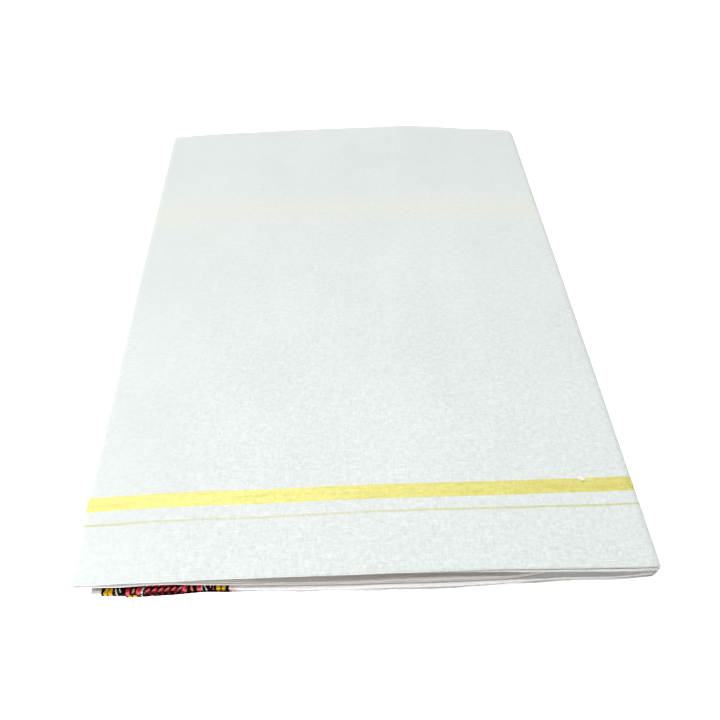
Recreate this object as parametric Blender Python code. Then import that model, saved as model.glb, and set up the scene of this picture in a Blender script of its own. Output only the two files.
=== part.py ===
"""Dhoti cloth, folded flat into a packet.

One length of white cotton is folded on itself eight plies deep along its length,
then book-wise across its width into four leaves that lie on each other:

    top leaf     shows, with the outer side fold at its right-hand end
    second leaf  joined to the top leaf by the narrow fold at the left
    third leaf   ends at the left in a selvedge with a coloured woven border
    base leaf    joined to the top leaf by the outer side fold, ends the same way

X runs across the packet, Y from the front folds to the back ones, and Z is up.
The origin is at the middle of the packet, on the surface it lies on.
"""

import math
from collections import namedtuple

import bmesh
import bpy
import numpy as np

MM = 0.001

# Driving dimensions, in metres.
CLOTH_LENGTH = 3.60
CLOTH_WIDTH = 1.27
LENGTH_PLIES = 8
WIDTH_LEAVES = 4
SIDE_FOLD_BULGE = 0.00125
SIDE_BOW = 0.0012
LEAF_GAP = 0.0003
SEAM_GAP = 0.0003
BORDER_WIDTH = 0.075
UPPER_SELVEDGE_X = -0.149
LOWER_SELVEDGE_X = -0.137

# How the folds lie.
MOUTH_DEPTH = 0.070
SWELL_DEPTH = 0.105
OUTER_CORNER = 0.0030
NARROW_CORNER = 0.0012
BACK_CORNER_RATIO = 1.7
GROOVE_DEPTH = 0.0009
LEAF_GROOVE_DEPTH = 0.0024

# Spacing of the sections and the points along them. The rows stand closer where the
# top leaf lifts off at the front and where the folds swell at the back.
SECTION_STEP = 0.0145
BEND_SECTIONS = 9
ROUND_END_DEGREES = (18, 36, 54, 70, 83)
NOSE_STEPS = 4
FRONT_ROWS = (-217, -207, -195, -181, -164, -140, -105, -60, -15)
BACK_ROWS = (30, 75, 110, 130, 148, 164, 179, 193, 205, 214)
ROWS_Y = tuple(row * MM for row in FRONT_ROWS + BACK_ROWS)

PACKET_DEPTH = CLOTH_LENGTH / LENGTH_PLIES
HALF_WIDTH = CLOTH_WIDTH / WIDTH_LEAVES / 2 + SIDE_FOLD_BULGE
FRONT_Y = -PACKET_DEPTH / 2
BACK_Y = PACKET_DEPTH / 2

BASE, THIRD, SECOND, TOP = range(WIDTH_LEAVES)

# One row for each place across the packet, in millimetres: the height of the top
# surface, how far the top leaf lifts off at the front, how far each leaf's front
# fold reaches past the nominal front edge, how far the back folds reach past the
# nominal back edge, and how much they swell up there.
Place = namedtuple(
    "Place", "x crown mouth top_front second_front third_front base_front back_reach swell"
)
PLACES = (
    Place(-160, 12.3, 0.0, -0.9, -2.4, -0.2, -0.2, -1.3, 0.2),
    Place(-148, 12.5, 0.3, 0.4, -0.9, 2.2, 1.4, -0.4, 0.6),
    Place(-136, 12.6, 0.8, -0.2, -0.2, 3.2, 2.2, 0.3, 1.0),
    Place(-110, 12.6, 1.2, -0.3, -0.1, 3.2, 2.6, 1.0, 1.7),
    Place(-85, 12.5, 1.3, -0.4, 0.2, 2.4, 0.8, 1.7, 2.3),
    Place(-58, 12.5, 1.2, -0.2, 1.1, 3.1, 1.8, 2.5, 2.8),
    Place(-30, 12.5, 1.2, -0.1, 2.0, 3.7, 3.3, 3.0, 3.2),
    Place(0, 12.5, 1.2, -0.1, 2.6, 4.2, 3.9, 3.3, 3.6),
    Place(35, 12.4, 1.1, 0.0, 3.1, 4.6, 4.6, 3.8, 4.1),
    Place(60, 12.3, 1.0, 0.1, 2.9, 4.2, 4.1, 4.2, 4.3),
    Place(85, 12.1, 0.7, 0.4, 2.3, 3.6, 3.6, 3.0, 3.5),
    Place(110, 11.7, 0.4, 0.8, 2.1, 3.2, 3.2, 1.2, 2.6),
    Place(135, 11.2, 0.1, 1.2, 1.9, 3.1, 3.1, -0.3, 1.7),
    Place(160, 10.8, 0.0, 1.4, 1.8, 2.6, 2.6, -2.0, 0.9),
)
PLACE_X = np.array([place.x for place in PLACES]) * MM
PLACE_VALUES = np.array([place[1:] for place in PLACES]) * MM
PLACE_SLOPES = np.gradient(PLACE_VALUES, PLACE_X, axis=0)
FRONT_COLUMN = {TOP: "top_front", SECOND: "second_front", THIRD: "third_front", BASE: "base_front"}

# Linear colour, roughness and metallic value of each sub-part.
WHITE_COTTON = ((0.84, 0.86, 0.84, 1.0), 0.85, 0.0)
SHADED_COTTON = ((0.78, 0.79, 0.77, 1.0), 0.88, 0.0)
UPPER_BORDER = ((0.22, 0.03, 0.03, 1.0), 0.75, 0.0)
LOWER_BORDER = ((0.16, 0.03, 0.02, 1.0), 0.75, 0.0)


def place_at(x):
    """Row of PLACES at x: a cubic through the rows, with their own slopes."""
    x = min(max(x, PLACE_X[0]), PLACE_X[-1])
    row = min(int(np.searchsorted(PLACE_X, x, side="right")) - 1, len(PLACES) - 2)
    span = PLACE_X[row + 1] - PLACE_X[row]
    u = (x - PLACE_X[row]) / span
    values = (
        (1 + 2 * u) * (1 - u) ** 2 * PLACE_VALUES[row]
        + u * u * (3 - 2 * u) * PLACE_VALUES[row + 1]
        + span * u * (1 - u) ** 2 * PLACE_SLOPES[row]
        - span * u * u * (1 - u) * PLACE_SLOPES[row + 1]
    )
    return Place(x, *values)


def ease(share):
    """Smooth step from 0 to 1."""
    share = min(max(share, 0.0), 1.0)
    return share * share * (3 - 2 * share)


def leaf_thickness(x, y):
    """Eight plies: an even share of the crown's height, thicker near the back folds."""
    place = place_at(x)
    flat = (place.crown - (WIDTH_LEAVES - 1) * LEAF_GAP) / WIDTH_LEAVES
    return flat + place.swell / WIDTH_LEAVES * ease((y - BACK_Y + SWELL_DEPTH) / SWELL_DEPTH)


def mouth_lift(x, y):
    """How far the top leaf stands off the second one, most at the front edge."""
    return place_at(x).mouth * (1 - ease((y - FRONT_Y) / MOUTH_DEPTH))


def leaf_middle(leaf, x, y):
    """Height of the middle of a leaf."""
    height = (leaf + 0.5) * leaf_thickness(x, y) + leaf * LEAF_GAP
    return height + mouth_lift(x, y) if leaf == TOP else height


def front_tip(leaf, x):
    return FRONT_Y - getattr(place_at(x), FRONT_COLUMN[leaf])


def back_tip(x):
    return BACK_Y + place_at(x).back_reach


def bowed(point):
    """The sides bow out by SIDE_BOW at the middle of the packet's depth."""
    x, y, z = point
    middle = max(0.0, 1 - (y / FRONT_Y) ** 2)
    return (x * (1 + SIDE_BOW / HALF_WIDTH * middle), y, z)


def nose(tips, widths, direction, groove):
    """Rounded folds side by side, from the outer face of a leaf to its inner one.

    Each fold is a half circle of its own width, cut short where it meets its
    neighbour, with a groove between the two. The points are (y, offset), with the
    offset from the middle of the whole thickness, and direction is -1 at the front
    and 1 at the back.
    """
    points = []
    outer = sum(widths) / 2
    for number, (tip, width) in enumerate(zip(tips, widths)):
        radius = width / 2
        first = 0 if number == 0 else 1
        last = NOSE_STEPS if number == len(tips) - 1 else NOSE_STEPS - 1
        if number:
            root = min(direction * tip, direction * tips[number - 1]) - radius - groove
            points.append((direction * root, outer))
        for step in range(first, last + 1):
            turn = math.pi * step / NOSE_STEPS
            y = tip - direction * radius * (1 - math.sin(turn))
            points.append((y, outer - radius + radius * math.cos(turn)))
        outer -= width
    return points


def section(spot, front_tips, back_tips, shares, back_shares, thickness, groove):
    """Closed ring of points round one section of a leaf.

    spot(y, offset) gives the point at y, offset from the leaf's middle. thickness(y)
    is the thickness there, and shares say how the folds at each end divide it.
    """
    front_width = [share * thickness(front_tips[0]) for share in shares]
    back_width = [share * thickness(back_tips[0]) for share in back_shares]
    front = nose(front_tips, front_width, -1, groove)
    back = nose(back_tips, back_width, 1, groove)
    ring = [spot(y, offset) for y, offset in reversed(front)]
    ring += [spot(y, thickness(y) / 2) for y in ROWS_Y]
    ring += [spot(y, offset) for y, offset in back]
    ring += [spot(y, -thickness(y) / 2) for y in reversed(ROWS_Y)]
    return [bowed(point) for point in ring]


def loft(name, rings, material, collection):
    """Closed solid through a list of like rings, with a flat face at each end."""
    count = len(rings[0])
    mesh = bmesh.new()
    verts = [[mesh.verts.new(point) for point in ring] for ring in rings]
    for near, far in zip(verts, verts[1:]):
        for i in range(count):
            j = (i + 1) % count
            mesh.faces.new((near[i], near[j], far[j], far[i]))
    mesh.faces.new(verts[0])
    mesh.faces.new(verts[-1])
    bmesh.ops.triangulate(mesh, faces=mesh.faces[:])
    bmesh.ops.recalc_face_normals(mesh, faces=mesh.faces[:])
    if mesh.calc_volume(signed=True) < 0:
        bmesh.ops.reverse_faces(mesh, faces=mesh.faces[:])
    data = bpy.data.meshes.new(name)
    mesh.to_mesh(data)
    mesh.free()
    data.shade_smooth()
    data.set_sharp_from_angle(angle=math.radians(50))
    data.materials.append(material)
    piece = bpy.data.objects.new(name, data)
    collection.objects.link(piece)
    return piece


def cloth_material(name, finish):
    """Principled material with a sub-part's colour, roughness and metallic value."""
    colour, roughness, metallic = finish
    material = bpy.data.materials.new(name)
    material.use_nodes = True
    material.diffuse_color = colour
    shader = material.node_tree.nodes["Principled BSDF"]
    shader.inputs["Base Color"].default_value = colour
    shader.inputs["Roughness"].default_value = roughness
    shader.inputs["Metallic"].default_value = metallic
    return material


def run_of_x(start, end):
    """Section places from start to end, evenly spaced about SECTION_STEP apart."""
    pieces = max(1, round(abs(end - start) / SECTION_STEP))
    return np.linspace(start, end, pieces + 1)


# The side folds turn about lines at these places, inside the packet's width.
NARROW_FOLD_X = -HALF_WIDTH + leaf_thickness(-HALF_WIDTH, 0) + LEAF_GAP / 2
OUTER_FOLD_X = HALF_WIDTH - place_at(HALF_WIDTH).crown / 2
SECOND_SEAM_X = UPPER_SELVEDGE_X + BORDER_WIDTH
BASE_SEAM_X = LOWER_SELVEDGE_X + BORDER_WIDTH

# A leaf's front shows two folds, the outer one deeper, and its back shows one.
WRAP_SHARES = (0.6, 0.4)
INNER_FOLD_SETBACK = 0.0003
WHOLE = (1.0,)


def flat_section(leaf, x, outward):
    """Section of a leaf that lies flat: outward is 1 where its outer face is up."""
    tip = front_tip(leaf, x)

    def spot(y, offset):
        return (x, y, leaf_middle(leaf, x, y) + outward * offset)

    return section(
        spot,
        (tip, tip + INNER_FOLD_SETBACK),
        (back_tip(x),),
        WRAP_SHARES,
        WHOLE,
        lambda y: leaf_thickness(x, y),
        GROOVE_DEPTH,
    )


def bend_section(upper, lower, x, side, turn, corner):
    """Section of the fold that joins two leaves at one side of the packet.

    The leaf's middle runs round a half circle between the middles of the two
    leaves. turn is 0 at the upper leaf and pi at the lower one, side is 1 at the
    right, and the front and back folds draw in by corner at the middle of the turn.
    """
    drawn_in = corner * math.sin(turn) ** 2
    upper_share = (1 + math.cos(turn)) / 2
    tip = front_tip(upper, x) * upper_share + front_tip(lower, x) * (1 - upper_share) + drawn_in
    across, upward = side * math.sin(turn), math.cos(turn)

    def spot(y, offset):
        high, low = leaf_middle(upper, x, y), leaf_middle(lower, x, y)
        reach = (high - low) / 2 + offset
        return (x + across * reach, y, (high + low) / 2 + upward * reach)

    return section(
        spot,
        (tip, tip + INNER_FOLD_SETBACK),
        (back_tip(x) - BACK_CORNER_RATIO * drawn_in,),
        WRAP_SHARES,
        WHOLE,
        lambda y: leaf_thickness(x, y),
        GROOVE_DEPTH,
    )


def outer_wrap():
    """Second leaf's left part, narrow fold, top leaf, outer fold and base leaf."""
    turns = np.linspace(0, math.pi, BEND_SECTIONS + 2)[1:-1]
    rings = [flat_section(SECOND, x, -1) for x in run_of_x(SECOND_SEAM_X, NARROW_FOLD_X)]
    rings += [
        bend_section(TOP, SECOND, NARROW_FOLD_X, -1, turn, NARROW_CORNER) for turn in turns[::-1]
    ]
    rings += [flat_section(TOP, x, 1) for x in run_of_x(NARROW_FOLD_X, OUTER_FOLD_X)]
    rings += [bend_section(TOP, BASE, OUTER_FOLD_X, 1, turn, OUTER_CORNER) for turn in turns]
    base_end = BASE_SEAM_X + SEAM_GAP
    rings += [flat_section(BASE, x, -1) for x in run_of_x(OUTER_FOLD_X, base_end)]
    return rings


def inner_section(x, turn):
    """Section of the second and third leaves as one solid.

    They share its thickness, with a groove between them at both ends. turn runs
    from 0 to nearly a right angle round the solid's right-hand end.
    """
    height = math.cos(turn)

    def thickness(y):
        return (2 * leaf_thickness(x, y) + LEAF_GAP) * height

    def spot(y, offset):
        full = 2 * leaf_thickness(x, y) + LEAF_GAP
        middle = 2 * leaf_thickness(x, y) + 1.5 * LEAF_GAP
        return (x + math.sin(turn) * full / 2, y, middle + offset)

    drawn_in = OUTER_CORNER / 2 * math.sin(turn) ** 2
    back = back_tip(x) - drawn_in
    fronts = (front_tip(SECOND, x) + drawn_in, front_tip(THIRD, x) + drawn_in)
    return section(
        spot,
        fronts,
        (back, back),
        (0.5, 0.5),
        (0.5, 0.5),
        thickness,
        LEAF_GROOVE_DEPTH * height,
    )


def inner_leaves():
    """Hidden second and third leaves, to the fold that joins them at the right."""
    rings = [inner_section(x, 0.0) for x in run_of_x(SECOND_SEAM_X + SEAM_GAP, OUTER_FOLD_X)]
    rings += [inner_section(OUTER_FOLD_X, math.radians(turn)) for turn in ROUND_END_DEGREES]
    return rings


def border_stretch(leaf, selvedge, end, outward):
    """Stretch of a leaf with the woven border, from its selvedge to the plain cloth."""
    return [flat_section(leaf, x, outward) for x in run_of_x(selvedge, end)]


def clear_scene():
    for item in list(bpy.data.objects):
        bpy.data.objects.remove(item, do_unlink=True)


def build():
    clear_scene()
    collection = bpy.data.collections.new("dhoti_cloth")
    bpy.context.scene.collection.children.link(collection)
    pieces = (
        ("outer_wrap", outer_wrap(), WHITE_COTTON),
        ("inner_leaves", inner_leaves(), SHADED_COTTON),
        (
            "border_third_leaf",
            border_stretch(THIRD, UPPER_SELVEDGE_X, SECOND_SEAM_X, 1),
            UPPER_BORDER,
        ),
        (
            "border_base_leaf",
            border_stretch(BASE, LOWER_SELVEDGE_X, BASE_SEAM_X, -1),
            LOWER_BORDER,
        ),
    )
    for name, rings, finish in pieces:
        loft(name, rings, cloth_material(name, finish), collection)


build()
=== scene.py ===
"""A dhoti folded flat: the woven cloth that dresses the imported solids."""

import math

import bpy
import numpy as np
from mathutils import Matrix


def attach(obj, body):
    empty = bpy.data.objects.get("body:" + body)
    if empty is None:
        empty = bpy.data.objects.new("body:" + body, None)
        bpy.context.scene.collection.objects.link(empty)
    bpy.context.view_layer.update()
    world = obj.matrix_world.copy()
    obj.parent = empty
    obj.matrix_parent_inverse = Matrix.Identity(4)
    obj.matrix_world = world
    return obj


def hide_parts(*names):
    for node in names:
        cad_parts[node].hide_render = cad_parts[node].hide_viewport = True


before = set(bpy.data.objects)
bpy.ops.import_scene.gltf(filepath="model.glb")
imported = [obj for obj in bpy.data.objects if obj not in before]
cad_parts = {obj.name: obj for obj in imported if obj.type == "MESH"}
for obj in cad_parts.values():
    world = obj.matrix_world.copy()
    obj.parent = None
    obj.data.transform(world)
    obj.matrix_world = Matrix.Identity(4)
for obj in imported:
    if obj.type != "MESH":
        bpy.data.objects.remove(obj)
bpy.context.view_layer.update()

# ---------------------------------------------------------------------------
# Inner plies of the white cloth. One length of plain-woven cotton is folded in half
# three times along its length, which makes eight plies, and then book-wise across
# its width in four leaves. Nothing is sewn: the plies are held by their creases.

MM = 0.001
PLIES = 8
PLY_PATH = (2, 7, 6, 3, 4, 5, 8, 1)
CLOTH_LENGTH = 3.60
CLOTH_WIDTH = 1.27
LEAVES = 4
SIDE_FOLD_BULGE = 0.00125
PACKET_DEPTH = CLOTH_LENGTH / PLIES
HALF_WIDTH = CLOTH_WIDTH / LEAVES / 2 + SIDE_FOLD_BULGE
FRONT_Y = -PACKET_DEPTH / 2
BACK_Y = PACKET_DEPTH / 2
BASE, THIRD, SECOND, TOP = range(LEAVES)
LEAF_GAP = 0.0003
CLOTH_THICKNESS = 0.00027
MOUTH_DEPTH = 0.070
SWELL_DEPTH = 0.105
SIDE_BOW = 0.0012
FRONT_FLARE = 0.0009
OUTER_CORNER = 0.0030
UPPER_SELVEDGE_X = -0.1490
LOWER_SELVEDGE_X = -0.1366
BORDER_WIDTH = 0.075

# Across the packet, in millimetres: x, height of the top, how far the top and second
# leaves lift at the front, how far the front folds of the top, second, third and base
# leaves reach past the nominal front edge, and the back folds' reach and swell.
PLACES = MM * np.array((
    (-160, 12.3, 0.1, 0.0, -0.9, -1.3, -0.2, -0.2, -1.3, 0.2),
    (-148, 12.5, 0.6, 0.1, 0.0, -1.1, 1.8, 1.3, -0.4, 0.6),
    (-136, 12.6, 0.9, 0.7, -0.2, -0.6, 2.4, 2.0, 0.3, 1.0),
    (-110, 12.6, 1.2, 1.0, 0.0, -0.9, 1.9, 1.7, 1.0, 1.7),
    (-85, 12.5, 1.3, 0.8, -0.2, 0.3, 1.4, 0.6, 1.7, 2.3),
    (-58, 12.5, 1.2, 0.4, -0.2, 1.2, 2.7, 1.8, 2.5, 2.8),
    (-30, 12.5, 1.2, 0.1, -0.1, 2.0, 3.7, 3.3, 3.0, 3.2),
    (0, 12.5, 1.2, 0.0, -0.1, 2.5, 4.2, 4.1, 3.3, 3.6),
    (35, 12.4, 1.1, 0.0, 0.0, 2.9, 4.8, 4.5, 3.8, 4.1),
    (60, 12.3, 1.0, 0.0, 0.1, 3.0, 4.5, 4.1, 4.2, 4.3),
    (85, 12.1, 0.7, 0.0, 0.4, 2.1, 3.7, 3.5, 3.0, 3.5),
    (110, 11.7, 0.4, 0.0, 0.8, -1.8, 3.2, 3.0, 1.2, 2.6),
    (135, 11.2, 0.1, 0.0, 1.2, -3.6, 3.6, 3.4, 0.9, 1.7),
    (160, 10.8, 0.0, 0.0, 1.4, -1.8, 1.9, 1.9, -1.2, 0.9),
)).T
PLACE_X, CROWN, TOP_LIFT, SECOND_LIFT = PLACES[:4]
TOP_FRONT, SECOND_FRONT, THIRD_FRONT, BASE_FRONT, BACK_REACH, SWELL = PLACES[4:]

# How far each leaf's inner front fold and its two free ends stand behind its outer
# front fold, in millimetres, at the same places: (inner fold, free end, free end).
SETBACKS = {
    TOP: ((0.5, 0.5, 0.5, 0.6, 0.6, 0.6, 0.5, 0.3, 0.0, -0.6, -1.2, -1.3, -1.6, -1.3), 5.0, 6.5),
    SECOND: ((1.4, 1.4, 1.6, 1.4, 1.0, 0.5) + (0.3,) * 8, 3.0, 4.0),
    THIRD: ((0.0,) * 14, 0.0, -0.2),
    BASE: ((0.1,) * 14, -0.1, -0.2),
}


def between(x, values):
    """Cubic curve through values at the places across the packet.

    Each span is a Hermite cubic whose end slopes are the slopes of the row of
    values there, and x is held inside the places.
    """
    x = np.clip(x, PLACE_X[0], PLACE_X[-1])
    row = np.clip(np.searchsorted(PLACE_X, x, side="right") - 1, 0, len(PLACE_X) - 2)
    slopes = np.gradient(values, PLACE_X)
    span = PLACE_X[row + 1] - PLACE_X[row]
    u = (x - PLACE_X[row]) / span
    return (
        (1 + 2 * u) * (1 - u) ** 2 * values[row]
        + u * u * (3 - 2 * u) * values[row + 1]
        + span * u * (1 - u) ** 2 * slopes[row]
        - span * u * u * (1 - u) * slopes[row + 1]
    )


def ease(share):
    """Smooth step from 0 to 1: s squared times (3 - 2s), with s held in 0 to 1."""
    share = np.clip(share, 0.0, 1.0)
    return share * share * (3 - 2 * share)


WAVER_SINES = 5
WAVER_LENGTHS = (0.022, 0.140)
WAVER_SPREAD = 2.2


def waver(x, seed, size):
    """Slow uneven wave along x: five sines of random length and phase, size high."""
    draw = np.random.default_rng(seed)
    lengths = draw.uniform(*WAVER_LENGTHS, WAVER_SINES)
    phases = draw.uniform(0, 2 * math.pi, WAVER_SINES)
    x = np.asarray(x)[..., None]
    return size * np.sin(2 * math.pi * x / lengths + phases).sum(axis=-1) / WAVER_SPREAD


def leaf_thickness(x, y):
    """A quarter of the crown's height, and thicker near the back folds."""
    flat = (between(x, CROWN) - (LEAVES - 1) * LEAF_GAP) / LEAVES
    return flat + between(x, SWELL) / LEAVES * ease((y - BACK_Y + SWELL_DEPTH) / SWELL_DEPTH)


# Soft creases and swells of the top leaf, in millimetres: middle x and y, the turn of
# the crease from X in degrees, its half length and half width, and its height.
CREASES = (
    (40, 60, 84, 150, 16, 0.16),
    (66, -70, 92, 120, 11, -0.20),
    (88, 10, 88, 170, 12, 0.22),
    (112, -60, 95, 130, 10, -0.18),
    (126, 60, 97, 120, 9, 0.16),
    (-60, 120, 78, 90, 18, 0.14),
    (-105, -20, 100, 140, 14, 0.12),
    (-20, -120, 12, 90, 14, 0.12),
    (20, 150, 4, 120, 12, 0.15),
    (-90, 165, 170, 60, 10, -0.12),
    (95, 172, 6, 50, 12, -0.15),
    (-128, -150, 30, 40, 9, 0.10),
    (0, 30, 60, 110, 22, -0.12),
)


def drape(x, y):
    """Height of the soft creases: each a long bell, cosine-ended along its length.

    In the crease's own turned sizes a, b the height is h exp(-b^2) exp(-a^4).
    """
    height = np.zeros(np.broadcast(x, y).shape)
    for place_x, place_y, turn, half_length, half_width, size in CREASES:
        c, s = math.cos(math.radians(turn)), math.sin(math.radians(turn))
        dx, dy = x - place_x * MM, y - place_y * MM
        along = (c * dx + s * dy) / (half_length * MM)
        across = (c * dy - s * dx) / (half_width * MM)
        height += size * MM * np.exp(-across**2 - along**4)
    return height


ROLL_DEPTH = 0.0060
ROLL_DROP = 0.00010
FRONT_FADE = 0.02
BACK_FADE = 0.03


def leaf_middle(leaf, x, y):
    """Height of the middle of a leaf, which lies on the leaves below it.

    The top and second leaves lift towards the front. The top one also carries the
    soft creases, and rolls over its front crease by a drop that grows as a square.
    """
    height = (leaf + 0.5) * leaf_thickness(x, y) + leaf * LEAF_GAP
    at_front = 1 - ease((y - FRONT_Y) / MOUTH_DEPTH)
    lift = between(x, TOP_LIFT) * at_front
    roll = ROLL_DROP * np.clip(1 - (y - FRONT_Y) / ROLL_DEPTH, 0, 1) ** 2
    inside = ease((y - FRONT_Y) / FRONT_FADE) * ease((BACK_Y - y) / BACK_FADE)
    height = height + (leaf == SECOND) * between(x, SECOND_LIFT) * at_front
    return height + (leaf == TOP) * (lift - roll + drape(x, y) * inside)


NARROW_FOLD_X = -HALF_WIDTH + leaf_thickness(-HALF_WIDTH, 0.0) + LEAF_GAP / 2
OUTER_FOLD_X = HALF_WIDTH - between(HALF_WIDTH, CROWN) / 2
SECOND_SEAM_X = UPPER_SELVEDGE_X + BORDER_WIDTH
BASE_SEAM_X = LOWER_SELVEDGE_X + BORDER_WIDTH

# The way across the cloth, from the upper selvedge to the lower one. Each stretch is
# (x from, x to, upper leaf, lower leaf, turn from, turn to, side, outer face outside).
WAY = {
    "third": (UPPER_SELVEDGE_X, OUTER_FOLD_X, SECOND, THIRD, math.pi, math.pi, 1, -1),
    "inner_fold": (OUTER_FOLD_X, OUTER_FOLD_X, SECOND, THIRD, math.pi, 0.0, 1, -1),
    "second": (OUTER_FOLD_X, NARROW_FOLD_X, SECOND, THIRD, 0.0, 0.0, 1, -1),
    "narrow_fold": (NARROW_FOLD_X, NARROW_FOLD_X, TOP, SECOND, math.pi, 0.0, -1, 1),
    "top": (NARROW_FOLD_X, OUTER_FOLD_X, TOP, BASE, 0.0, 0.0, 1, 1),
    "outer_fold": (OUTER_FOLD_X, OUTER_FOLD_X, TOP, BASE, 0.0, math.pi, 1, 1),
    "base": (OUTER_FOLD_X, LOWER_SELVEDGE_X, TOP, BASE, math.pi, math.pi, 1, 1),
}
TURN_LENGTH = {"inner_fold": 0.0053, "narrow_fold": 0.0053, "outer_fold": 0.0157}
CORNERS = {"inner_fold": (0.5, 0.5), "narrow_fold": (0.4, 0.68), "outer_fold": (0.5, 2.3)}


def stations(name, count, start=0.0, end=1.0):
    """Places along one stretch of the way across, from share start to share end.

    A row for each quantity: x, upper leaf, lower leaf, turn, side, sense, distance
    across the cloth, and how far the front and back folds draw in at a corner.
    """
    x0, x1, upper, lower, turn0, turn1, side, sense = WAY[name]
    before = 0.0
    for other in WAY:
        if other == name:
            break
        before += TURN_LENGTH.get(other, abs(WAY[other][1] - WAY[other][0]))
    share = np.linspace(start, end, count)
    length = TURN_LENGTH.get(name, abs(x1 - x0))
    turn = turn0 + (turn1 - turn0) * share
    front, back = CORNERS.get(name, (0.0, 0.0))
    drawn = OUTER_CORNER * np.sin(turn) ** 2
    full = np.ones(count)
    return np.array((
        x0 + (x1 - x0) * share,
        upper * full,
        lower * full,
        turn,
        side * full,
        sense * full,
        before + length * share,
        front * drawn,
        back * drawn,
    ))


def share_at(name, x):
    """Share of a flat stretch at which it passes x."""
    return (x - WAY[name][0]) / (WAY[name][1] - WAY[name][0])


def along(*stretches):
    """Stretches one after another, with the place where two meet kept once."""
    joined = stretches[0]
    for stretch in stretches[1:]:
        joined = np.concatenate([joined, stretch[:, 1:]], axis=1)
    return joined


# Shares of a ply's length at which its rows lie, closer near the folds.
COARSE = np.array((
    0.0, 0.003, 0.008, 0.015, 0.025, 0.04, 0.06, 0.09, 0.14, 0.21, 0.30, 0.40, 0.50, 0.60,
    0.70, 0.78, 0.84, 0.89, 0.93, 0.96, 0.98, 0.992, 1.0,
))


# Which front fold of its leaf a ply ends in: 0 the outer fold, 1 the inner one, 2 and 3
# a free end each. Then the grid's steps round a fold, by how many plies it spans.
FOLD_GROUP = {8: 0, 7: 0, 6: 0, 5: 0, 4: 1, 3: 1, 2: 2, 1: 3}
FOLD_STEPS = {1: 5, 3: 8, 5: 10, 7: 14}
FOLD_PLY_STEP = 0.00036
MIDDLE_PLY = (PLIES + 1) / 2


def rows(shares, first=0, last=PLIES - 1, first_share=0.0, last_share=1.0):
    """Rows along the cloth, from ply number first on the way to ply number last.

    A row is (middle, half, turn, share, forwards, front group, distance along). On a
    flat ply half is 0 and share runs from the front folds to the back ones. On a
    fold, turn runs from 0 to pi between the two plies, and the offset from the
    leaf's middle is middle + half cos(turn), in plies.
    """
    final = PLIES - 1
    arc = math.pi * FOLD_PLY_STEP
    table = []
    for number in range(first, last + 1):
        ply, forwards = PLY_PATH[number], 1 if number % 2 == 0 else -1
        group = FOLD_GROUP[ply]
        arc_before = abs(PLY_PATH[number - 1] - ply) / 2 * arc if number else 0.0
        arc_after = abs(PLY_PATH[number + 1] - ply) / 2 * arc if number < final else 0.0
        start = number * PACKET_DEPTH + arc_before / 2
        length = PACKET_DEPTH - arc_before / 2 - arc_after / 2
        for share in shares:
            if number == first and share < first_share or number == last and share > last_share:
                continue
            if (share == 0.0 and number) or (share == 1.0 and number < final):
                continue
            place = share if forwards > 0 else 1 - share
            reach = start + length * share
            table.append((ply - MIDDLE_PLY, 0, 0, place, forwards, group, reach))
        if number < last:
            after = PLY_PATH[number + 1]
            middle, half = (ply + after) / 2 - MIDDLE_PLY, (ply - after) / 2
            steps = FOLD_STEPS[abs(ply - after)]
            for step in range(steps + 1):
                turn = math.pi * step / steps
                reach = (number + 1) * PACKET_DEPTH + arc_after * (step / steps - 0.5)
                table.append((middle, half, turn, 0, forwards, group, reach))
    return np.array(table)


FOLD_WAVER = 0.10 * MM
FREE_END_WAVERS = (0.35 * MM, 0.45 * MM)
BACK_WAVER = 0.15 * MM
FRONT_FOLD_RADII = (1.5, 0.5, 0, 0)
BACK_FOLD_RADIUS = (PLIES - 1) / 2


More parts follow.
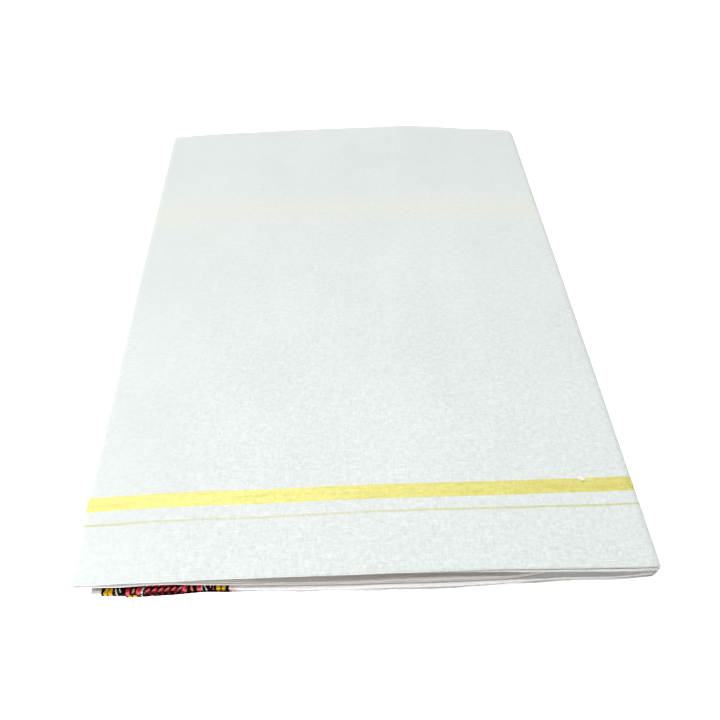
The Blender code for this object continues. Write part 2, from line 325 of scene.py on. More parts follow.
def cloth_points(row, station, face):
    """Points of one face of the cloth, as an array of rows by stations by three.

    On a ply y runs between its two folds, and on a fold it is the fold's middle
    plus the radius times sin(turn). The face lies half the cloth's thickness from
    its middle, along the cloth's own normal. Across the packet the leaf's middle
    goes round a half circle at each side fold. The sides bow out by one minus the
    square of y's share, and the right one flares by that square towards the front.
    """
    x, upper, lower, turn, side, sense, _, front_in, back_in = station[:, None, :]
    middle, half, bend, share, forwards, group, _ = row.T[:, :, None]
    upper_share = (1 + np.cos(turn)) / 2
    fronts = []
    columns = {TOP: TOP_FRONT, SECOND: SECOND_FRONT, THIRD: THIRD_FRONT, BASE: BASE_FRONT}
    for leaf in (BASE, THIRD, SECOND, TOP):
        tip = FRONT_Y - between(x, columns[leaf]) + waver(x, 10 + leaf, FOLD_WAVER)
        inner, first_end, second_end = SETBACKS[leaf]
        fold = tip + between(x, MM * np.array(inner)) + waver(x, 20 + leaf, FOLD_WAVER)
        two = tip + first_end * MM + waver(x, 30 + leaf, FREE_END_WAVERS[0])
        one = tip + second_end * MM + waver(x, 40 + leaf, FREE_END_WAVERS[1])
        fronts.append((tip, fold, two, one))
    fronts = np.array(fronts)[:, :, 0, :]
    high = np.take_along_axis(fronts, upper.astype(int)[None] + np.zeros((1, 4, 1), int), 0)[0]
    low = np.take_along_axis(fronts, lower.astype(int)[None] + np.zeros((1, 4, 1), int), 0)[0]
    tips = high * upper_share + low * (1 - upper_share) + front_in
    tau = leaf_thickness(x, tips) / PLIES
    centres = tips + np.array(FRONT_FOLD_RADII)[:, None] * tau
    centres += np.array((1, 1, 0, 0))[:, None] * CLOTH_THICKNESS / 2
    front = centres[group[:, 0].astype(int)]
    back_tip = BACK_Y + between(x, BACK_REACH) - back_in + waver(x, 50, BACK_WAVER)
    back = back_tip - BACK_FOLD_RADIUS * leaf_thickness(x, back_tip) / PLIES - CLOTH_THICKNESS / 2
    on_fold = half != 0
    fold_y = np.where(forwards > 0, back, front)
    flat_y = front + (back - front) * share
    centre = np.where(on_fold, fold_y, flat_y)
    tau = leaf_thickness(x, centre) / PLIES
    y = centre + on_fold * forwards * abs(half) * tau * np.sin(bend)
    offset = (middle + half * np.cos(bend)) * tau
    normal_y = on_fold * np.sign(half) * np.sin(bend)
    normal_offset = np.where(on_fold, forwards * np.cos(bend), forwards)
    y = y + face * CLOTH_THICKNESS / 2 * normal_y
    offset = offset + face * CLOTH_THICKNESS / 2 * normal_offset
    high, low = leaf_middle(upper, x, y), leaf_middle(lower, x, y)
    reach = (high - low) / 2 + sense * offset
    forward = np.clip(y / FRONT_Y, 0, 1) ** 2
    bow = SIDE_BOW * np.maximum(0, 1 - (y / FRONT_Y) ** 2)
    across = (x + side * np.sin(turn) * reach) * (1 + bow / HALF_WIDTH)
    across = across + FRONT_FLARE * forward * np.clip(x / HALF_WIDTH, 0, 1)
    height = (high + low) / 2 + np.cos(turn) * reach
    return np.stack(np.broadcast_arrays(across, y, height), axis=-1)


SHARP_CREASE = math.radians(50)


def cloth_piece(name, row, station, kept=None):
    """Closed thin shell of cloth over a grid of rows and stations.

    The two faces are the cloth's points at face 1 and -1, and narrow quads join
    them wherever a kept cell of the grid has no kept neighbour. The UV map holds
    the distance across and along the cloth, in metres.
    """
    count, width = len(row), station.shape[1]
    kept = np.ones((count - 1, width - 1), bool) if kept is None else kept
    points = np.concatenate([cloth_points(row, station, s).reshape(-1, 3) for s in (1, -1)])
    index = np.arange(count * width).reshape(count, width)
    a, b, c, d = index[:-1, :-1], index[:-1, 1:], index[1:, 1:], index[1:, :-1]
    under = count * width
    quads = [
        np.stack((a, b, c, d), axis=-1)[kept],
        np.stack((d, c, b, a), axis=-1)[kept] + under,
    ]
    wide = np.pad(kept, 1)
    for shift, start, end in (((1, 0), a, d), ((1, 2), c, b), ((0, 1), b, a), ((2, 1), d, c)):
        neighbour = wide[shift[0]:shift[0] + count - 1, shift[1]:shift[1] + width - 1]
        rim = kept & ~neighbour
        quads.append(np.stack((start, end, end + under, start + under), axis=-1)[rim])
    quads = np.concatenate(quads)
    used, quads = np.unique(quads, return_inverse=True)
    quads = quads.reshape(-1, 4)
    mesh = bpy.data.meshes.new(name)
    mesh.vertices.add(len(used))
    mesh.vertices.foreach_set("co", points[used].ravel())
    mesh.loops.add(quads.size)
    mesh.loops.foreach_set("vertex_index", quads.ravel().astype(np.int32))
    mesh.polygons.add(len(quads))
    mesh.polygons.foreach_set("loop_start", np.arange(0, quads.size, 4, dtype=np.int32))
    mesh.update(calc_edges=True)
    place = np.stack(np.meshgrid(station[6], row[:, 6]), axis=-1).reshape(-1, 2)
    place = np.concatenate([place, place])[used]
    mesh.uv_layers.new(name="cloth").data.foreach_set("uv", place[quads.ravel()].ravel())
    mesh.shade_smooth()
    mesh.set_sharp_from_angle(angle=SHARP_CREASE)
    piece = bpy.data.objects.new(name, mesh)
    bpy.context.scene.collection.objects.link(piece)
    return piece


# The outermost ply is cut from the rest of the length: it starts near the end of ply
# number 5 and stops near the start of number 7, counted from 0 along the length.
SHOWN_PLIES = (5, 7, 0.96, 0.04)
SEAM_SECOND_X = -0.130
SEAM_BASE_X = OUTER_FOLD_X - 0.006


def coarse_way():
    """Stations of all the white cloth, 12 mm apart, closer round the side folds."""
    return along(
        stations("third", 20, share_at("third", SECOND_SEAM_X)),
        stations("inner_fold", 9),
        stations("second", 24, 0.0, share_at("second", SEAM_SECOND_X)),
        stations("second", 4, share_at("second", SEAM_SECOND_X)),
        stations("narrow_fold", 9),
        stations("top", 28),
        stations("outer_fold", 15),
        stations("base", 2, 0.0, share_at("base", SEAM_BASE_X)),
        stations("base", 19, share_at("base", SEAM_BASE_X), share_at("base", BASE_SEAM_X)),
    )


inner_rows = rows(COARSE)
inner_way = coarse_way()
shown_rows = rows(COARSE, *SHOWN_PLIES)
shown_start = np.flatnonzero(np.isclose(inner_rows[:, 6], shown_rows[0, 6]))[0]
shown_end = np.flatnonzero(np.isclose(inner_rows[:, 6], shown_rows[-1, 6]))[0]
seam_across = stations("second", 1, share_at("second", SEAM_SECOND_X))[6, 0]
seam_station = np.flatnonzero(np.isclose(inner_way[6], seam_across))[0]
hidden = np.ones((len(inner_rows) - 1, inner_way.shape[1] - 1), bool)
hidden[shown_start:shown_end, seam_station:] = False
inner_cloth = cloth_piece("inner_plies", inner_rows, inner_way, hidden)


def knot(tree, kind, settings=None, **links):
    """New node of a material: settings fill its properties, links its inputs.

    A link is a socket of another node or a plain value, and _0, _1 and _2 stand for
    inputs that are told apart only by their number.
    """
    node = tree.nodes.new("ShaderNode" + kind)
    for key, value in (settings or {}).items():
        setattr(node, key, value)
    for key, value in links.items():
        socket = node.inputs[int(key[1:])] if key[0] == "_" else node.inputs[key.replace("_", " ")]
        if isinstance(value, bpy.types.NodeSocket):
            tree.links.new(value, socket)
        else:
            socket.default_value = value
    return node


def maths(tree, operation, *values):
    """Result of one Math node on sockets or numbers."""
    links = {f"_{number}": value for number, value in enumerate(values)}
    return knot(tree, "Math", {"operation": operation}, **links).outputs[0]


def blend(tree, share, first, second):
    """Colour that goes from first to second as share goes from 0 to 1."""
    node = knot(tree, "Mix", {"data_type": "RGBA"}, _0=share, _6=first, _7=second)
    return node.outputs[2]


def ramp(tree, value, low, high):
    """Smooth step of value from 0 at low to 1 at high."""
    node = knot(tree, "MapRange", {"interpolation_type": "SMOOTHSTEP"}, _0=value, _1=low, _2=high)
    return node.outputs[0]


def band(tree, value, low, high, soft):
    """1 where value lies between low and high, with an edge soft wide, and 0 outside."""
    rise = ramp(tree, value, low - soft / 2, low + soft / 2)
    fall = ramp(tree, value, high + soft / 2, high - soft / 2)
    return maths(tree, "MULTIPLY", rise, fall)


def stretched_noise(tree, place, scale, detail=2.0, roughness=0.5):
    """Noise over the cloth's own sizes, with its own scale across and along."""
    spread = knot(tree, "VectorMath", {"operation": "MULTIPLY"}, _0=place, _1=(*scale, 1.0))
    noise = knot(
        tree, "TexNoise", {"noise_dimensions": "2D"},
        Vector=spread.outputs[0], Scale=1.0, Detail=detail, Roughness=roughness,
    )
    return noise.outputs["Fac"]


def new_material(name, roughness):
    """Material with a principled shader of even roughness, sheen and gloss."""
    material = bpy.data.materials.new(name)
    material.use_nodes = True
    shader = material.node_tree.nodes["Principled BSDF"]
    shader.inputs["Roughness"].default_value = roughness
    shader.inputs["Specular IOR Level"].default_value = 0.25
    shader.inputs["Sheen Weight"].default_value = 0.06
    shader.inputs["Sheen Roughness"].default_value = 0.5
    return material, material.node_tree, shader


# Colours of the white cloth and its zari, as linear red, green, blue and opacity.
COTTON = (0.850, 0.895, 0.871, 1.0)
COTTON_SHADE = (0.806, 0.849, 0.827, 1.0)
# The inner plies are the same cloth as the top ply, painted a warmer grey as painted shade.
INNER_SHADED_COTTON = (0.835, 0.828, 0.812, 1.0)
INNER_SHADED_MOTTLE = (0.800, 0.792, 0.772, 1.0)
# Painted light on the lips, painted shade on the second leaf and darker still in its recess.
LIT_LIP_COTTON = (0.945, 0.940, 0.930, 1.0)
SECOND_LEAF_SHADE_COTTON = (0.730, 0.685, 0.655, 1.0)
RECESS_SHADE_COTTON = (0.480, 0.445, 0.425, 1.0)
MARGIN = (0.960, 0.955, 0.940, 1.0)
ZARI = (0.845, 0.812, 0.280, 1.0)
# ZARI_DEEP serves darker threads at random and the zari's painted shade towards the right.
ZARI_DEEP = (0.755, 0.690, 0.185, 1.0)
ZARI_THREAD = (0.660, 0.655, 0.240, 1.0)
SHOW_THROUGH = (0.846, 0.880, 0.816, 1.0)
PINK_EDGE = (0.880, 0.560, 0.590, 1.0)

# One thread's width, and distances along and across the cloth where things begin.
THREAD_PITCH = 0.00045
TOP_PLY_START = 6 * PACKET_DEPTH
WAY_LENGTH = stations("base", 2)[6, -1]
SECOND_WAY = stations("second", 2)[6]
OPEN_FROM = stations("top", 2)[6, 0]
BASE_FROM = stations("base", 2)[6, 0]

# Bands of the top ply: from and to, and how soft the edge is, in metres behind its
# front fold. The last two are the next ply's band, which shows through faintly.
ZARI_BAND = (0.04635, 0.05605, 0.0005)
ZARI_LINE = (0.03695, 0.03825, 0.0010)
SHOWN_BAND = (0.3235, 0.3330, 0.002)
SHOWN_HAZE = (0.3090, 0.3440, 0.008)
DYE_FRINGE = (0.070, 0.0775, 0.003)

# Where tones change: metres behind the front fold, metres across the cloth, or shares
# of the way across, each from nothing to full.
YARN_FADE = (0.40, -0.02)
# Painted light: the second leaf's front crease and the paler third leaf.
LIP_HIGHLIGHT_SPAN = (0.0022, 0.0012)
THIRD_LEAF_LIT = (0.27, 0.20)
# Painted shade: the second leaf, darker towards its left end.
SECOND_LEAF_SHADE_SPAN = (SECOND_WAY[0] + 0.004, SECOND_WAY[1] - 0.004, 0.008)
LEFT_END_SHADE_AND_LIP = (SECOND_WAY[1] - 0.090, SECOND_WAY[1] - 0.015)
OPEN_FADE = (OPEN_FROM, OPEN_FROM + 0.09)
LINE_FRESH_RIGHT = (0.58, 0.70)
LINE_FRESH_LEFT = (0.54, 0.49)
# Painted shade: the zari darker towards the right.
ZARI_SHADE_TO_RIGHT = (0.56, 0.68)


def woven(tree, place):
    """Height of a plain weave and the unevenness of its yarns, about 0.

    The height is a product of two sine ribs, a thread apart, plus the unevenness,
    which is noise drawn out along each set of yarns, a grain and thicker slubs.
    """
    split = knot(tree, "SeparateXYZ", Vector=place)
    across, along_cloth = split.outputs[0], split.outputs[1]
    warp = maths(tree, "SINE", maths(tree, "MULTIPLY", across, 2 * math.pi / THREAD_PITCH))
    weft = maths(tree, "SINE", maths(tree, "MULTIPLY", along_cloth, 2 * math.pi / THREAD_PITCH))
    check = maths(tree, "MULTIPLY", maths(tree, "MULTIPLY", warp, weft), 0.10)
    layers = (
        (stretched_noise(tree, place, (600, 540), 3.0, 0.75), 1.0, 0.5),
        (stretched_noise(tree, place, (1250, 170)), 0.55, 0.5),
        (stretched_noise(tree, place, (170, 1250)), 0.60, 0.5),
        (stretched_noise(tree, place, (330, 300), 1.0), 0.55, 0.5),
        (ramp(tree, stretched_noise(tree, place, (42, 900), 1.0), 0.66, 0.80), 0.25, 0.02),
    )
    yarns = 0.0
    for layer, weight, middle in layers:
        yarns = maths(tree, "MULTIPLY_ADD", maths(tree, "SUBTRACT", layer, middle), weight, yarns)
    return maths(tree, "ADD", check, yarns), yarns, across, along_cloth


def brightened(tree, colour, amount):
    """Colour times an amount near 1."""
    grey = knot(tree, "CombineColor", _0=amount, _1=amount, _2=amount).outputs[0]
    node = knot(
        tree, "Mix", {"data_type": "RGBA", "blend_type": "MULTIPLY"}, _0=1.0, _6=colour, _7=grey
    )
    return node.outputs[2]


def curve_value(tree, value, points, low, high):
    """Value read from a curve through points, scaled from 0..1 to low..high."""
    node = knot(tree, "FloatCurve", Value=value)
    curve = node.mapping.curves[0]
    curve.points[0].location, curve.points[1].location = points[0], points[-1]
    for point in points[1:-1]:
        curve.points.new(*point)
    node.mapping.update()
    return maths(tree, "MULTIPLY_ADD", node.outputs[0], high - low, low)


# One thick slub of cotton, its trailing end and its shadow on the zari, in metres:
# middle across and along, half sizes.
SLUB_X = OPEN_FROM + 0.1284 - NARROW_FOLD_X
SLUB = (SLUB_X - 0.0009, ZARI_BAND[1] + 0.0001, 0.0017, 0.0011)
SLUB_END = (SLUB_X + 0.0006, ZARI_BAND[1] - 0.0008, 0.0014, 0.0011)
SLUB_SHADOW = (SLUB_X + 0.0006, ZARI_BAND[1] - 0.0023, 0.0013, 0.0011)
SLUB_SHADE = (0.520, 0.480, 0.120, 1.0)

# How the weft wanders: share of the way across, and share of the wander's range.
WANDER = (-0.003, 0.003)
BAND_WANDER = (
    (0.0, 0.0), (0.483, 0.0), (0.4875, 0.03), (0.497, 0.24), (0.512, 0.33), (0.54, 0.43),
    (0.56, 0.4), (0.595, 0.49), (0.61, 0.525), (0.655, 0.47), (0.685, 0.54), (0.705, 0.7),
    (0.722, 0.75), (0.738, 0.87), (0.76, 0.93), (1.0, 0.5),
)
LINE_WANDER = (
    (0.0, 0.0), (0.483, 0.0), (0.4875, 0.05), (0.497, 0.2), (0.512, 0.25), (0.528, 0.41),
    (0.56, 0.35), (0.595, 0.47), (0.62, 0.56), (0.64, 0.555), (0.655, 0.52), (0.672, 0.53),
    (0.688, 0.59), (0.705, 0.68), (0.722, 0.71), (0.738, 0.86), (0.76, 0.92), (1.0, 0.5),
)


def oval(tree, across, along_cloth, middle, centre, half, length):
    """Soft oval spot.

    With a and b the distances from its middle over its half sizes, it is 1 where
    a^2 + b^2 is under a half, and falls to 0 where that reaches 1.
    """
    a = maths(tree, "DIVIDE", maths(tree, "SUBTRACT", across, middle), half)
    b = maths(tree, "DIVIDE", maths(tree, "SUBTRACT", along_cloth, centre), length)
    away = maths(tree, "ADD", maths(tree, "MULTIPLY", a, a), maths(tree, "MULTIPLY", b, b))
    return ramp(tree, away, 1.0, 0.5)


def cotton_material(name, light, shade):
    """White plain-woven cotton, all placed by the distance across and along.

    It has the zari band and line, with painted shade darkening the zari towards the right,
    a band of a lower ply that shows through, a slub with its painted shadow, painted shade
    on the second leaf, darkest towards its left end, painted light on its front crease there
    and on the paler third and base leaves, and a pink fringe of dye where the coloured
    borders begin.
    """
    material, tree, shader = new_material(name, 0.80)
    place = knot(tree, "UVMap", {"uv_map": "cloth"}).outputs[0]
    height, yarns, across, along_cloth = woven(tree, place)
    mottle = stretched_noise(tree, place, (17, 12), 3.0, 0.55)
    cloud = stretched_noise(tree, place, (75, 55), 2.0)
    tone = maths(tree, "MULTIPLY_ADD", cloud, 0.25, maths(tree, "MULTIPLY", mottle, 0.65))
    colour = blend(tree, ramp(tree, tone, 0.15, 0.75), shade, light)

    behind = maths(tree, "SUBTRACT", along_cloth, TOP_PLY_START)
    share = maths(tree, "DIVIDE", across, CLOTH_WIDTH)
    haze = band(tree, behind, *SHOWN_HAZE)
    ghost = band(tree, behind, *SHOWN_BAND)
    ghost = maths(tree, "MULTIPLY_ADD", ghost, 0.9, maths(tree, "MULTIPLY", haze, 0.55))
    colour = blend(tree, ghost, colour, SHOW_THROUGH)

    at_band = maths(tree, "SUBTRACT", behind, curve_value(tree, share, BAND_WANDER, *WANDER))
    at_line = maths(tree, "SUBTRACT", behind, curve_value(tree, share, LINE_WANDER, *WANDER))
    zari = band(tree, at_band, *ZARI_BAND)
    strength = maths(tree, "MULTIPLY_ADD", ramp(tree, share, *LINE_FRESH_RIGHT), 0.35, 0.45)
    strength = maths(tree, "MULTIPLY_ADD", ramp(tree, share, *LINE_FRESH_LEFT), 0.25, strength)
    line = maths(tree, "MULTIPLY", band(tree, at_line, *ZARI_LINE), strength)
    colour = blend(tree, line, colour, ZARI_THREAD)
    glint = stretched_noise(tree, place, (160, 1500), 2.0)
    deep = ramp(tree, stretched_noise(tree, place, (30, 260), 2.0), 0.45, 0.80)
    # Painted shade: the zari darker towards the right.
    shade_to_right = maths(tree, "MULTIPLY", ramp(tree, share, *ZARI_SHADE_TO_RIGHT), 0.45)
    gold = blend(tree, maths(tree, "MULTIPLY_ADD", deep, 0.55, shade_to_right), ZARI, ZARI_DEEP)
    gold = brightened(tree, gold, maths(tree, "MULTIPLY_ADD", glint, 0.20, 0.90))
    colour = blend(tree, zari, colour, gold)

    slub = maths(
        tree, "MAXIMUM",
        oval(tree, across, at_band, *SLUB),
        oval(tree, across, at_band, *SLUB_END),
    )
    shadow = oval(tree, across, at_band, *SLUB_SHADOW)
    colour = blend(tree, maths(tree, "MULTIPLY", shadow, 0.70), colour, SLUB_SHADE)
    colour = blend(tree, slub, colour, MARGIN)

    # Painted shade: the second leaf warmer and darker, darkest towards its left end.
    inside = band(tree, across, *SECOND_LEAF_SHADE_SPAN)
    # Painted light: a paler lip along the second leaf's front crease near its left end.
    crease = ramp(tree, maths(tree, "ABSOLUTE", behind), *LIP_HIGHLIGHT_SPAN)
    crease = maths(tree, "MULTIPLY", crease, ramp(tree, across, *LEFT_END_SHADE_AND_LIP))
    shade_and_lip_highlight = blend(tree, ramp(tree, across, *LEFT_END_SHADE_AND_LIP), SECOND_LEAF_SHADE_COTTON, RECESS_SHADE_COTTON)
    shade_and_lip_highlight = blend(tree, crease, shade_and_lip_highlight, LIT_LIP_COTTON)
    colour = blend(tree, inside, colour, shade_and_lip_highlight)
    # Painted light: the third and base leaves are paler.
    third = ramp(tree, across, *THIRD_LEAF_LIT)
    base = maths(tree, "GREATER_THAN", across, BASE_FROM)
    colour = blend(tree, maths(tree, "MAXIMUM", third, base), colour, LIT_LIP_COTTON)

    from_edge = maths(tree, "MINIMUM", across, maths(tree, "SUBTRACT", WAY_LENGTH, across))
    fringe = band(tree, from_edge, *DYE_FRINGE)
    fringe = maths(tree, "MULTIPLY", fringe, ramp(tree, yarns, -0.15, 0.15))
    colour = blend(tree, fringe, colour, PINK_EDGE)

    contrast = maths(tree, "MULTIPLY_ADD", ramp(tree, behind, *YARN_FADE), 0.19, 0.10)
    inward = ramp(tree, across, *OPEN_FADE)
    contrast = maths(tree, "MULTIPLY", contrast, maths(tree, "MULTIPLY_ADD", inward, 0.55, 0.50))
    colour = brightened(tree, colour, maths(tree, "MULTIPLY_ADD", yarns, contrast, 1.0))
    tree.links.new(colour, shader.inputs["Base Color"])
    roughness = maths(tree, "MULTIPLY_ADD", zari, -0.20, 0.80)
    tree.links.new(roughness, shader.inputs["Roughness"])
    tree.links.new(maths(tree, "MULTIPLY", zari, 0.12), shader.inputs["Metallic"])
    bump = knot(tree, "Bump", Strength=0.5, Distance=0.00010, Height=height)
    tree.links.new(bump.outputs[0], shader.inputs["Normal"])
    return material


# The inner plies get a warmer grey as painted shade inside the folds.
inner_cloth.data.materials.append(cotton_material("inner cotton painted shade", INNER_SHADED_COTTON, INNER_SHADED_MOTTLE))
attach(inner_cloth, "root")
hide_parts("outer_wrap", "inner_leaves")

# ---------------------------------------------------------------------------
# Top ply and under ply of the same cloth: the outermost ply, which shows all over the
# top, round both side folds and under the base leaf, with its front and back creases.

FINE = np.unique(np.concatenate([COARSE, np.linspace(0.06, 0.96, 130)]))


def shown_way():
    """Stations of the outermost ply, 3 mm apart on the top leaf."""
    return along(
        stations("second", 8, share_at("second", SEAM_SECOND_X)),
        stations("narrow_fold", 13),
        stations("top", 106),
        stations("outer_fold", 19),
        stations("base", 3, 0.0, share_at("base", SEAM_BASE_X)),
    )


top_cloth = cloth_piece("top_ply", rows(FINE, *SHOWN_PLIES), shown_way())
under_cloth = cloth_piece(
    "under_ply",
    shown_rows,
    stations("base", 37, share_at("base", SEAM_BASE_X), share_at("base", BASE_SEAM_X)),
)
cotton = cotton_material("white cotton", COTTON, COTTON_SHADE)
for piece in (top_cloth, under_cloth):
    piece.data.materials.append(cotton)
    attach(piece, "root")
    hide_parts("outer_wrap")

# ---------------------------------------------------------------------------
# Coloured selvedge borders: extra threads woven into both edges of the same length,
# black with yellow, red, pink, orange and white figures. They show at the left, one
# on the third leaf and one on the base leaf, each eight plies deep.


def border_piece(name, stretch, seam_x, count):
    """All eight plies of one leaf between its selvedge and the plain cloth."""
    share = share_at(stretch, seam_x)
    limits = (0.0, share) if stretch == "third" else (share, 1.0)
    return cloth_piece(name, rows(COARSE), stations(stretch, count, *limits))


BLACK_THREAD = (0.003, 0.002, 0.002, 1.0)
MAROON_THREAD = (0.130, 0.004, 0.008, 1.0)
ROSE_THREAD = (0.400, 0.060, 0.080, 1.0)
RED_THREAD = (0.820, 0.012, 0.022, 1.0)
PINK_THREAD = (0.950, 0.160, 0.200, 1.0)
ORANGE_THREAD = (0.950, 0.330, 0.120, 1.0)
YELLOW_THREAD = (0.950, 0.560, 0.016, 1.0)
WHITE_THREAD = (0.900, 0.860, 0.820, 1.0)
FRINGE_THREAD = (0.950, 0.780, 0.780, 1.0)
# Painted shade: the selvedge margin behind the front fold, where shade falls.
MARGIN_PAINTED_SHADE = (0.500, 0.430, 0.390, 1.0)

# The plain margin outside the border, where painted shade greys it behind the front fold,
# and the size of one thread of the figures, in metres.
SELVEDGE_MARGIN = 0.005
MARGIN_SHADE_SPAN = (0.0020, 0.0070, 0.0010)
FIGURE_STEP = 0.00042

# The border's figures, in millimetres: middle across from the plain selvedge margin,
# half width, middle along from a front fold, half length, how far it leans across for
# each millimetre along, and its thread. All repeat along the cloth.
FIGURES = (
    (3.15, 1.10, 0.9, 2.4, 0.28, YELLOW_THREAD),
    (4.35, 0.35, 1.2, 2.4, 0.25, MAROON_THREAD),
    (5.55, 1.05, 1.1, 2.5, 0.14, YELLOW_THREAD),
    (8.50, 0.42, 1.4, 2.0, -0.34, WHITE_THREAD),
    (10.45, 0.38, 2.2, 1.5, -0.40, WHITE_THREAD),
    (14.80, 1.15, 1.4, 2.1, 0.02, PINK_THREAD),
    (14.80, 0.95, 2.3, 1.2, 0.00, RED_THREAD),
    (17.65, 0.60, 1.6, 1.5, 0.12, ORANGE_THREAD),
    (20.60, 1.35, 1.7, 1.9, 0.18, PINK_THREAD),
    (20.90, 1.05, 2.4, 1.2, 0.20, RED_THREAD),
    (22.50, 0.55, 1.7, 1.8, 0.26, WHITE_THREAD),
    (45.10, 1.30, 1.2, 1.6, 0.05, PINK_THREAD),
    (45.70, 0.75, 1.5, 1.3, 0.00, RED_THREAD),
    (48.60, 0.55, 1.0, 1.3, -0.25, ORANGE_THREAD),
    (52.65, 1.40, 1.1, 1.6, -0.05, PINK_THREAD),
    (52.35, 1.00, 1.7, 1.0, 0.00, RED_THREAD),
    (54.20, 0.32, 1.1, 1.4, -0.12, WHITE_THREAD),
    (56.10, 0.34, 1.0, 1.4, -0.45, WHITE_THREAD),
    (58.90, 0.26, 1.3, 0.8, -0.20, WHITE_THREAD),
    (60.40, 0.40, 0.8, 1.2, 0.10, ROSE_THREAD),
    (63.00, 1.15, 0.9, 1.2, 0.15, YELLOW_THREAD),
    (64.40, 0.32, 0.7, 1.6, 0.00, MAROON_THREAD),
    (65.85, 1.05, 0.9, 1.1, 0.10, YELLOW_THREAD),
    (71.60, 3.10, 0.9, 1.6, 0.00, FRINGE_THREAD),
)
FIGURE_REPEAT = 1000 * PACKET_DEPTH / 80
FIELD = (23.4, 43.7)
FIELD_REPEAT = (3.45, 1000 * PACKET_DEPTH / 160)
BLACK_GROUND = (0.8, 74.6)


def saw(tree, value, repeat, shift=0.0):
    """0 at the middle of each repeat and 1 at its ends, rising evenly between."""
    turns = maths(tree, "FRACT", maths(tree, "MULTIPLY_ADD", value, 1 / repeat, shift))
    return maths(tree, "MULTIPLY", maths(tree, "ABSOLUTE", maths(tree, "SUBTRACT", turns, 0.5)), 2.0)


def figure(tree, across, along_cloth, middle, half, centre, length, lean):
    """Mask of a row of leaning leaf shapes.

    With t the distance along from a figure's centre, in a repeat, it is 1 where
    |across - middle - lean t| / half + (t / length)^4 is under 1.
    """
    turns = maths(tree, "MULTIPLY_ADD", along_cloth, 1 / FIGURE_REPEAT, 0.5 - centre / FIGURE_REPEAT)
    t = maths(tree, "SUBTRACT", maths(tree, "FRACT", turns), 0.5)
    t = maths(tree, "MULTIPLY", t, FIGURE_REPEAT)
    away = maths(tree, "SUBTRACT", across, maths(tree, "MULTIPLY_ADD", t, lean, middle))
    away = maths(tree, "DIVIDE", maths(tree, "ABSOLUTE", away), half)
    end = maths(tree, "POWER", maths(tree, "ABSOLUTE", maths(tree, "DIVIDE", t, length)), 4.0)
    return maths(tree, "LESS_THAN", maths(tree, "ADD", away, end), 1.0)


def border_material(name, start, sign):
    """Black border with woven figures, read across from a selvedge.

    start is the selvedge's distance across the cloth, and sign says which way the
    border lies from it. Both directions go in whole threads, so figures are stepped.
    """
    material, tree, shader = new_material(name, 0.78)
    shader.inputs["Sheen Weight"].default_value = 0.0
    shader.inputs["Specular IOR Level"].default_value = 0.06
    place = knot(tree, "UVMap", {"uv_map": "cloth"}).outputs[0]
    height, yarns, across, along_cloth = woven(tree, place)
    from_edge = maths(tree, "MULTIPLY", maths(tree, "SUBTRACT", across, start), float(sign))
    across = maths(tree, "SUBTRACT", from_edge, SELVEDGE_MARGIN - FIGURE_STEP / 2)
    across = maths(tree, "DIVIDE", maths(tree, "SNAP", across, FIGURE_STEP), MM)
    thread = maths(tree, "ADD", along_cloth, FIGURE_STEP / 2)
    thread = maths(tree, "DIVIDE", maths(tree, "SNAP", thread, FIGURE_STEP), MM)
    colour = blend(tree, 0.0, BLACK_THREAD, BLACK_THREAD)
    for *shape, threads in FIGURES:
        colour = blend(tree, figure(tree, across, thread, *shape), colour, threads)

    field = band(tree, across, *FIELD, 0.1)
    wide, long = FIELD_REPEAT
    leaning = maths(tree, "MULTIPLY_ADD", thread, -1.1, across)
    lattice = maths(tree, "ADD", saw(tree, across, wide), saw(tree, thread, long))
    strokes = maths(
        tree, "MULTIPLY_ADD", saw(tree, thread, long), 0.45, saw(tree, leaning, wide, 0.5)
    )
    crossing = maths(tree, "ADD", saw(tree, across, wide, 0.5), saw(tree, thread, long, 0.5))
    ground = blend(tree, maths(tree, "LESS_THAN", crossing, 0.95), MAROON_THREAD, BLACK_THREAD)
    ground = blend(tree, maths(tree, "LESS_THAN", lattice, 0.85), ground, RED_THREAD)
    ground = blend(tree, maths(tree, "LESS_THAN", strokes, 0.42), ground, PINK_THREAD)
    ground = blend(tree, maths(tree, "LESS_THAN", strokes, 0.24), ground, WHITE_THREAD)
    colour = blend(tree, field, colour, ground)

    speckle = ramp(tree, stretched_noise(tree, place, (2300, 2300), 0.0), 0.66, 0.72)
    colour = blend(tree, maths(tree, "MULTIPLY", speckle, 0.35), colour, MAROON_THREAD)
    plain = maths(tree, "LESS_THAN", across, BLACK_GROUND[0])
    fringe = maths(tree, "GREATER_THAN", across, BLACK_GROUND[1])
    behind = maths(tree, "SUBTRACT", along_cloth, TOP_PLY_START)
    # Painted shade on the margin behind the front fold.
    margin_shade = band(tree, behind, *MARGIN_SHADE_SPAN)
    colour = blend(tree, plain, colour, blend(tree, margin_shade, MARGIN, MARGIN_PAINTED_SHADE))
    fringe_tone = blend(tree, ramp(tree, yarns, -0.15, 0.15), COTTON, PINK_EDGE)
    colour = blend(tree, fringe, colour, fringe_tone)
    colour = brightened(tree, colour, maths(tree, "MULTIPLY_ADD", yarns, 0.45, 1.0))
    tree.links.new(colour, shader.inputs["Base Color"])
    bump = knot(tree, "Bump", Strength=0.6, Distance=0.00015, Height=height)
    tree.links.new(bump.outputs[0], shader.inputs["Normal"])
    return material


upper_border = border_piece("upper_border", "third", SECOND_SEAM_X, 31)
lower_border = border_piece("lower_border", "base", BASE_SEAM_X, 31)
borders = (
    (upper_border, "border_third_leaf", 0.0, 1),
    (lower_border, "border_base_leaf", WAY_LENGTH, -1),
)
for piece, node, start, sign in borders:
    piece.data.materials.append(border_material(piece.name, start, sign))
    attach(piece, "root")
    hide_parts(node)


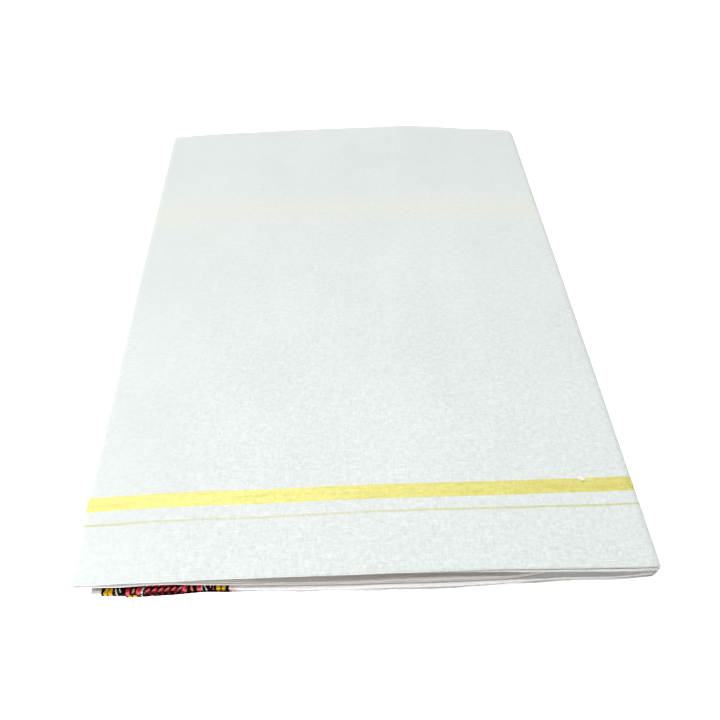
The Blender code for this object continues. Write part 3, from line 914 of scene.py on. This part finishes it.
# ---------------------------------------------------------------------------
# Studio: a plain white floor that glows more at the left, where a broad lamp would
# light it, a faint white dome, two soft suns from behind, three lamps near the front
# and the camera.

FLOOR_REACH = 6
FLOOR_GLOW = {"_1": -0.16, "_2": 0.16, "_3": 2.35, "_4": 1.65}
DOME_STRENGTH = 0.09
CORNER_SIGNS = ((-1, -1), (1, -1), (1, 1), (-1, 1))
floor_corners = [(x * FLOOR_REACH, y * FLOOR_REACH, 0) for x, y in CORNER_SIGNS]
floor_mesh = bpy.data.meshes.new("floor")
floor_mesh.from_pydata(floor_corners, [], [(0, 1, 2, 3)])
floor = bpy.data.objects.new("floor", floor_mesh)
bpy.context.scene.collection.objects.link(floor)
floor_material, floor_tree, floor_shader = new_material("floor", 0.9)
floor_shader.inputs["Base Color"].default_value = (0.20, 0.20, 0.20, 1)
floor_shader.inputs["Emission Color"].default_value = (1, 1, 1, 1)
floor_place = knot(floor_tree, "TexCoord").outputs["Object"]
floor_x = knot(floor_tree, "SeparateXYZ", Vector=floor_place).outputs[0]
glow = knot(floor_tree, "MapRange", _0=floor_x, **FLOOR_GLOW).outputs[0]
floor_tree.links.new(glow, floor_shader.inputs["Emission Strength"])
floor_shader.inputs["Sheen Weight"].default_value = 0.0
floor_mesh.materials.append(floor_material)

world = bpy.data.worlds.new("studio")
world.use_nodes = True
world.node_tree.nodes["Background"].inputs[0].default_value = (1, 1, 1, 1)
world.node_tree.nodes["Background"].inputs[1].default_value = DOME_STRENGTH
bpy.context.scene.world = world


def aimed(place, target):
    """Matrix of a lamp or camera at place whose own -Z points at target."""
    ahead = np.array(target, float) - np.array(place, float)
    ahead = ahead / np.linalg.norm(ahead)
    right = np.cross(ahead, (0.0, 0.0, 1.0))
    right = right / np.linalg.norm(right)
    up = np.cross(right, ahead)
    return Matrix([
        [right[axis], up[axis], -ahead[axis], place[axis]] for axis in range(3)
    ] + [[0, 0, 0, 1]])


# Suns: name, place they shine from, strength and width in degrees.
for name, place, energy, angle in (
    ("key", (-0.30, 0.40, 1.15), 2.04, 18),
    ("back", (-0.30, 0.85, 1.00), 0.90, 20),
):
    sun_data = bpy.data.lights.new(name, "SUN")
    sun_data.energy = energy
    sun_data.angle = math.radians(angle)
    sun = bpy.data.objects.new(name, sun_data)
    sun.matrix_world = aimed(place, (0, 0, 0))
    bpy.context.scene.collection.objects.link(sun)

# Lamps: name, place, what they point at, size and power in watts.
for name, place, target, size, power in (
    ("fill", (-0.30, -0.30, 0.40), (-0.30, -0.22, 0.0), (0.4, 0.4), 0.43),
    ("front", (-0.45, -1.15, 0.10), (-0.10, -0.22, 0.0), (0.9, 0.10), 1.5),
    ("corner", (-0.33, -0.42, 0.035), (-0.145, -0.225, 0.005), (0.20, 0.04), 0.15),
):
    lamp_data = bpy.data.lights.new(name, "AREA")
    lamp_data.shape = "RECTANGLE"
    lamp_data.size, lamp_data.size_y = size
    lamp_data.energy = power
    lamp = bpy.data.objects.new(name, lamp_data)
    lamp.matrix_world = aimed(place, target)
    lamp.visible_camera = False
    bpy.context.scene.collection.objects.link(lamp)

CAMERA_PLACE = (-0.0126, -0.4105, 0.3829)
CAMERA_PITCH = math.radians(47.27)
CAMERA_YAW = math.radians(-2.47)
CAMERA_FOCUS_PIXELS = 743.2
c_pitch, s_pitch = math.cos(CAMERA_PITCH), math.sin(CAMERA_PITCH)
c_yaw, s_yaw = math.cos(CAMERA_YAW), math.sin(CAMERA_YAW)
ahead = np.array((-s_yaw * c_pitch, c_yaw * c_pitch, -s_pitch))
right = np.array((c_yaw, s_yaw, 0.0))
up = np.cross(right, ahead)
camera_data = bpy.data.cameras.new("camera")
camera_data.sensor_width = 36.0
camera_data.sensor_fit = "HORIZONTAL"
camera_data.lens = CAMERA_FOCUS_PIXELS * 36.0 / 720
camera_data.clip_start = 0.01
camera = bpy.data.objects.new("camera", camera_data)
camera.matrix_world = Matrix((
    (right[0], up[0], -ahead[0], CAMERA_PLACE[0]),
    (right[1], up[1], -ahead[1], CAMERA_PLACE[1]),
    (right[2], up[2], -ahead[2], CAMERA_PLACE[2]),
    (0, 0, 0, 1),
))
bpy.context.scene.collection.objects.link(camera)
bpy.context.scene.camera = camera
bpy.context.scene.view_settings.view_transform = "Standard"
